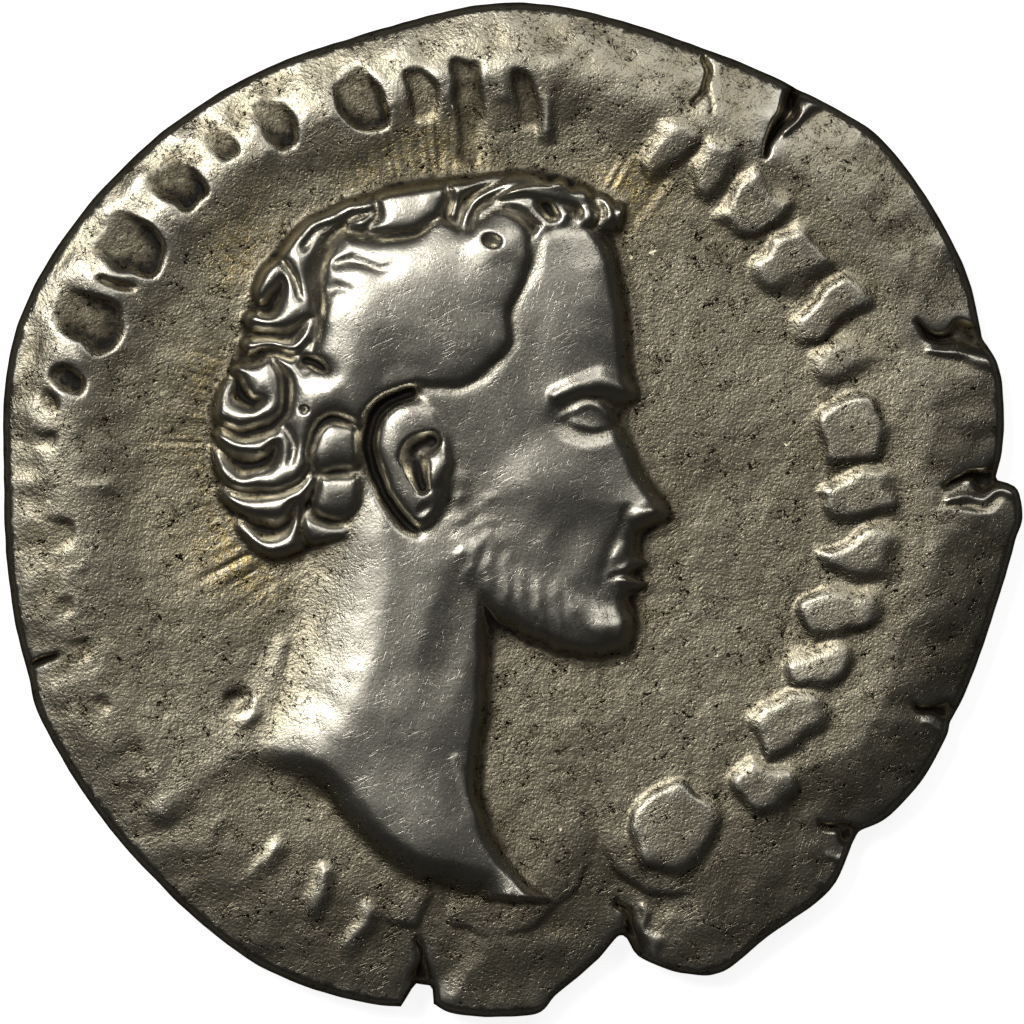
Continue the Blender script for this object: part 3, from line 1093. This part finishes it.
def strike(obj):
    """Moves the blank's points to their places, a hair inside the solid's box, and says how they were fitted."""
    u, v, level = vertex_places(obj).T
    disc_x, disc_y = rounded(u, v)
    angle = np.degrees(np.arctan2(disc_y, disc_x))
    turn = np.radians(angle)
    middle = 1 - (2 * level + 1) ** 2
    torn = sum(np.sin(count * turn + 9 * count * level) / count**0.6 for count in (23, 37, 59, 83, 127))
    full = edge_radius(angle) - WALL_BULGE * (1 - middle) + 0.02 * middle * torn
    x = disc_x * full
    y = disc_y * full
    top = FRONT_FIELD + read_map(TOP, x, y)
    bottom = BACK_FIELD - read_map(UNDER, x, y)
    z = bottom + (top - bottom) * (level + 1)
    places = np.column_stack([x, y, z])
    low = places.min(axis=0)
    high = places.max(axis=0)
    box = np.array(CAD_BOX) / MM
    scale = np.minimum((box[1] - box[0] - 2 * EASE) / (high - low), 1.0)
    shift = np.array([*((low + high) / 2)[:2], low[2]])
    places = (places - shift) * scale + np.array([*((box[0] + box[1]) / 2)[:2], box[0][2] + EASE])
    obj.data.vertices.foreach_set("co", (places * MM).astype(np.float32).ravel())
    obj.data.update()
    print("size in mm:", np.round(high - low, 3), "solid:", np.round(box[1] - box[0], 3))
    return shift, scale


SHIFT, SCALE = strike(coin)


# %% [markdown]
# ## Fewer faces where the metal is smooth
# The grid is as fine in the plain field as in the curls. A Decimate modifier merges faces where the surface is
# nearly flat and leaves them where it isn't, so the detail stays and the piece is light enough.

# %% Thin the mesh
MOST_TRIANGLES = 196000

triangles = sum(len(face.vertices) - 2 for face in coin.data.polygons)
if triangles > MOST_TRIANGLES:
    thin = coin.modifiers.new("fewer_faces", "DECIMATE")
    thin.ratio = MOST_TRIANGLES / triangles
    bpy.ops.object.modifier_apply(modifier=thin.name)
bpy.ops.object.shade_smooth()
print("triangles:", triangles, "then", sum(len(face.vertices) - 2 for face in coin.data.polygons))

# %% [markdown]
# ## What the surface knows about itself
# Silver that has been handled is bright where fingers rub it and dark where they can't reach. A place is in a
# hollow when the map round it is higher on average, so a blurred map minus the map itself says where dirt stays. These masks
# are stored as attributes of the mesh points, and the material reads them.

# %% Masks on the mesh
def store(obj, name, values):
    """Stores one number for each point of the mesh."""
    layer = obj.data.attributes.new(name, "FLOAT", "POINT")
    layer.data.foreach_set("value", np.asarray(values, np.float32))


def paint_masks(obj):
    places = vertex_places(obj) / MM
    box = np.array(CAD_BOX) / MM
    places = (places - np.array([*((box[0] + box[1]) / 2)[:2], box[0][2]])) / SCALE + SHIFT
    x, y, z = places.T
    over = soft_step((z - BACK_FIELD - 0.35) / 0.5)
    inset = read_map(INSET, x, y)
    wall = soft_step(1 - (inset - 0.02) / 0.10)
    hollows = []
    rubbed = []
    for heights in (TOP, UNDER):
        near = np.clip(blur(heights, 0.10) - heights, -0.1, 0.1) / 0.07
        wide = np.clip(blur(heights, 0.32) - heights, -0.2, 0.2) / 0.14
        hollows.append(np.clip(0.55 * near + 0.65 * wide - 0.16, 0, 1))
        rubbed.append(np.clip(0.25 - 0.7 * near - 0.7 * wide, 0, 1))
    hollows[0] = np.clip(hollows[0] + 0.40 * TONED * (INSET > 0.3), 0, 1)
    hollow = over * read_map(hollows[0], x, y) + (1 - over) * read_map(hollows[1], x, y)
    worn = over * read_map(rubbed[0], x, y) + (1 - over) * read_map(rubbed[1], x, y)
    store(obj, "hollow", hollow * (1 - wall))
    store(obj, "worn", worn * (1 - wall))
    store(obj, "raised", over * soft_step(read_map(BUST, x, y) / 0.45))
    store(obj, "flow", over * read_map(FLOW, x, y))
    store(obj, "wall", wall)


paint_masks(coin)
print("masks:", [layer.name for layer in coin.data.attributes if layer.domain == "POINT"])


# %% [markdown]
# ## Writing shaders as sums
# A node tree is easier to read as arithmetic. This small class wraps a socket, so that 1 - mask adds the Math
# node itself, and one method adds any other node.

# %% A socket that can be reckoned with
class Wire:
    """A socket in a node tree that takes part in sums."""

    def __init__(self, bench, socket):
        self.bench = bench
        self.socket = socket

    def reckon(self, operation, first, second=None, third=None):
        values = [value for value in (first, second, third) if value is not None]
        return self.bench.add("Math", {"operation": operation}, dict(enumerate(values)))

    def __add__(self, other):
        return self.reckon("ADD", self, other)

    def __radd__(self, other):
        return self.reckon("ADD", other, self)

    def __sub__(self, other):
        return self.reckon("SUBTRACT", self, other)

    def __rsub__(self, other):
        return self.reckon("SUBTRACT", other, self)

    def __mul__(self, other):
        return self.reckon("MULTIPLY", self, other)

    def __rmul__(self, other):
        return self.reckon("MULTIPLY", other, self)

    def __truediv__(self, other):
        return self.reckon("DIVIDE", self, other)

    def __pow__(self, other):
        return self.reckon("POWER", self, other)

    def __abs__(self):
        return self.reckon("ABSOLUTE", self)

    def between(self, low, high):
        """0 at low, 1 at high and held to that range outside."""
        settings = {"interpolation_type": "SMOOTHSTEP"}
        return self.bench.add("MapRange", settings, {"Value": self, "From Min": low, "From Max": high})


class Bench:
    """A material's node tree, with one method that adds any node."""

    def __init__(self, name):
        self.material = bpy.data.materials.new(name)
        self.material.use_nodes = True
        self.tree = self.material.node_tree
        self.shader = self.tree.nodes["Principled BSDF"]
        self.places = self.add("TexCoord", out="Object")

    def add(self, kind, settings=None, values=None, out=0):
        """Adds a node of this type, with its settings first, then the values or links of its sockets."""
        made = self.tree.nodes.new("ShaderNode" + kind)
        for name, value in (settings or {}).items():
            setattr(made, name, value)
        for name, value in (values or {}).items():
            self.join(value, made.inputs[name])
        return Wire(self, made.outputs[out])

    def join(self, value, socket):
        if isinstance(value, Wire):
            self.tree.links.new(value.socket, socket)
        else:
            socket.default_value = value

    def mask(self, name):
        return self.add("Attribute", {"attribute_name": name}, out="Fac")

    def blend(self, amount, first, second):
        """The colour between two others."""
        return self.add("Mix", {"data_type": "RGBA"}, {0: amount, 6: first, 7: second}, out=2)

    def noise(self, size, detail=2.0, rough=0.5, where=None):
        """Noise from 0 to 1 with blobs of this size in millimetres."""
        values = {"Vector": where or self.places, "Scale": 1 / (size * MM), "Detail": detail, "Roughness": rough}
        return self.add("TexNoise", None, values)

    def brushed(self, angle, size, stretch):
        """Places turned by an angle and drawn out along it, for scratches and flow lines."""
        turned = {"Vector": self.places, "Rotation": (0, 0, math.radians(angle)), "Scale": (stretch, 1, 1)}
        return self.noise(size, 2.0, 0.6, self.add("Mapping", {"vector_type": "TEXTURE"}, turned))


# %% [markdown]
# ## Worn silver
# Old silver is never one colour. Rubbed metal is pale and cool, the field is greyer with a fine grain, brown-black
# dirt sits in the hollows, and the flow lines over the hair keep a golden tone. Roughness follows the same masks:
# rubbed places shine more, dirt is dull and hardly metal.

# %% The silver
PALE_SILVER = (0.80, 0.755, 0.63, 1)
GREY_SILVER = (0.58, 0.515, 0.365, 1)
GOLDEN_SILVER = (0.78, 0.60, 0.26, 1)
TONED_BROWN = (0.22, 0.175, 0.10, 1)
WALL_BROWN = (0.045, 0.037, 0.023, 1)
DIRT = (0.016, 0.012, 0.007, 1)


def worn_silver():
    silver = Bench("worn_silver")
    hollow = silver.mask("hollow")
    worn = silver.mask("worn")
    raised = silver.mask("raised")
    flow = silver.mask("flow")
    wall = silver.mask("wall")
    fine = silver.noise(0.05, 1.0, 0.5)
    grain = silver.noise(0.13, 3.0, 0.6)
    mottled = silver.noise(0.35, 4.0, 0.65)
    patches = silver.noise(1.6, 3.0, 0.55)
    rub = (worn + 0.7 * raised).between(0.1, 1.1)
    dirt = (hollow + 0.55 * (grain - 0.5) + 0.30 * (patches - 0.5)).between(0.22, 0.75)
    specks = silver.noise(0.075, 1.0, 0.5).between(0.60, 0.70) * (1 - 0.7 * rub) * mottled.between(0.42, 0.6)
    metal = silver.blend(rub, GREY_SILVER, PALE_SILVER)
    metal = silver.blend(flow * grain.between(0.35, 0.6), metal, GOLDEN_SILVER)
    toned = (0.8 * hollow + 1.2 * (mottled - 0.5) + 0.9 * (patches - 0.5) - 0.25 * rub + 0.16).between(0.0, 0.8)
    metal = silver.blend(0.85 * toned, metal, TONED_BROWN)
    marks = sum(
        (1 - abs(silver.brushed(angle, size, 7) - 0.5).between(0.0, 0.03)) * (grain if angle % 2 else mottled).between(0.5, 0.62)
        for angle, size in ((24, 0.16), (71, 0.13), (118, 0.17), (155, 0.14))
    )
    metal = silver.blend((0.8 * specks + 0.5 * marks * (1 - 0.7 * rub)).between(0, 1), metal, DIRT)
    metal = silver.blend(wall, metal, WALL_BROWN)
    silver.join(silver.blend(dirt, metal, DIRT), silver.shader.inputs["Base Color"])
    silver.join(1 - 0.8 * dirt - 0.2 * wall, silver.shader.inputs["Metallic"])
    rough = 0.39 - 0.06 * rub + 0.22 * dirt + 0.08 * (fine - 0.5) + 0.20 * wall
    silver.join(rough, silver.shader.inputs["Roughness"])
    height = (fine + 0.9 * grain) * (1.0 - 0.75 * rub) - (0.35 * marks + 0.8 * specks) * (1.0 - 0.6 * rub)
    bump = silver.add("Bump", None, {"Strength": 1.0, "Distance": 0.008 * MM, "Height": height}, out="Normal")
    silver.join(bump, silver.shader.inputs["Normal"])
    return silver.material


coin.data.materials.append(worn_silver())
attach(coin, "root")
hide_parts("denarius")
print("nodes in the silver:", len(coin.data.materials[0].node_tree.nodes))


# %% [markdown]
# ## Floor, light and camera
# The coin lies on a plain pale floor. A broad soft light stands high on the upper left, so slopes that face it are
# bright and level metal is mid grey, and a weaker one stands on the upper right. The camera looks straight
# down through a long lens, as for a catalogue picture.

# %% The floor
bpy.ops.object.select_all(action="DESELECT")
bpy.ops.mesh.primitive_plane_add(size=3, location=(0, 0, -0.00002))
floor = bpy.context.object
floor.name = "floor"
paper = bpy.data.materials.new("pale_paper")
paper.use_nodes = True
paper_shader = paper.node_tree.nodes["Principled BSDF"]
paper_shader.inputs["Base Color"].default_value = (0.85, 0.85, 0.85, 1)
paper_shader.inputs["Roughness"].default_value = 0.9
paper_shader.inputs["Emission Color"].default_value = (1, 1, 1, 1)
paper_shader.inputs["Emission Strength"].default_value = 0.9
floor.data.materials.append(paper)
floor.visible_glossy = False

# %% The lights
LIGHT_DISTANCE = 1.2


def panel(name, azimuth, tilt, size, power):
    """A square panel of light, aimed at the coin. Azimuth turns anticlockwise from +X, tilt is from straight up."""
    data = bpy.data.lights.new(name, "AREA")
    data.shape = "DISK"
    data.size = size
    data.energy = power
    lamp = bpy.data.objects.new(name, data)
    bpy.context.scene.collection.objects.link(lamp)
    turn = math.radians(azimuth)
    lean = math.radians(tilt)
    way = (math.cos(turn) * math.sin(lean), math.sin(turn) * math.sin(lean), math.cos(lean))
    lamp.location = [LIGHT_DISTANCE * part for part in way]
    lamp.rotation_euler = (lean, 0, turn + math.pi / 2)
    return lamp


panel("key_light", 135, 31, 0.50, 4.4)
panel("fill_light", 62, 36, 0.50, 1.1)
world = bpy.data.worlds.new("studio")
world.use_nodes = True
world.node_tree.nodes["Background"].inputs["Color"].default_value = (1, 1, 1, 1)
world.node_tree.nodes["Background"].inputs["Strength"].default_value = 0.012
bpy.context.scene.world = world
bpy.context.scene.view_settings.view_transform = "Standard"

# %% The camera
PIXEL = 0.017787
FRAME = 1024 * PIXEL * MM
CENTRE_ROW = 509
CAMERA_HEIGHT = 0.30

lens = bpy.data.cameras.new("camera")
lens.sensor_width = 36
lens.lens = 36 * (CAMERA_HEIGHT - FRONT_FIELD * MM) / FRAME
camera = bpy.data.objects.new("camera", lens)
bpy.context.scene.collection.objects.link(camera)
camera.location = (-SHIFT[0] * MM, ((CENTRE_ROW - 512) * PIXEL - SHIFT[1]) * MM, CAMERA_HEIGHT)
bpy.context.scene.camera = camera
print("lens:", round(lens.lens), "mm")
